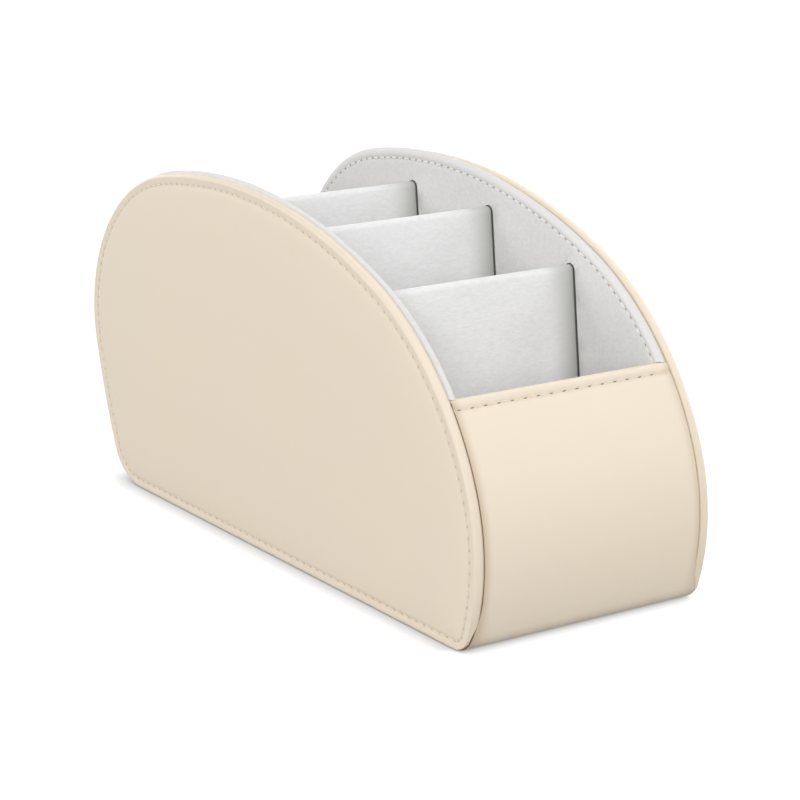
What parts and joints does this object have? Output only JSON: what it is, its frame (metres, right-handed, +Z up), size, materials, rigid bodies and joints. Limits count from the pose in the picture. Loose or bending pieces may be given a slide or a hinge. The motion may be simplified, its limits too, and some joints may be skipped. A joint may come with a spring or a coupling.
{
  "type": "desk organizer box",
  "caption": "Leather-covered desk organizer box with tall rounded side panels, a low curved front wall and leaning dividers that form open compartments.",
  "frame": {"origin": "centre of the object's box, on the surface that it stands on", "axes": "+Z up, +Y from the low front wall to the back wall, +X across the width to the right side panel as seen from the front"},
  "size_m": [0.1, 0.221, 0.1213],
  "materials": {
    "cream_leather": "smooth cream synthetic leather, satin",
    "lining_fabric": "light grey brushed lining fabric with fine streaks, matte",
    "padding_foam": "soft white padding foam",
    "grey_board": "pressed fibreboard and card, raw",
    "sewing_thread": "twisted polyester thread",
    "base_felt": "thin dark grey felt"
  },
  "bodies": {
    "root": {"back_board": "grey_board", "back_cover": "cream_leather", "back_foam": "padding_foam", "back_hem_thread": "sewing_thread", "back_lining": "lining_fabric", "base_board": "grey_board", "base_infill": "grey_board", "base_sheet": "base_felt", "divider_1_core": "grey_board", "divider_1_cover": "lining_fabric", "divider_2_core": "grey_board", "divider_2_cover": "lining_fabric", "divider_3_core": "grey_board", "divider_3_cover": "lining_fabric", "floor_lining": "lining_fabric", "front_board": "grey_board", "front_cover": "cream_leather", "front_foam": "padding_foam", "front_hem_thread": "sewing_thread", "front_lining": "lining_fabric", "left_infill_card": "grey_board", "left_lining_card": "grey_board", "left_lining_cover": "lining_fabric", "left_lining_seam_thread": "sewing_thread", "left_side_board": "grey_board", "left_side_cover": "cream_leather", "left_side_foam": "padding_foam", "left_side_seam_thread": "sewing_thread", "right_infill_card": "grey_board", "right_lining_card": "grey_board", "right_lining_cover": "lining_fabric", "right_lining_seam_thread": "sewing_thread", "right_side_board": "grey_board", "right_side_cover": "cream_leather", "right_side_foam": "padding_foam", "right_side_seam_thread": "sewing_thread"}
  },
  "joints": []
}
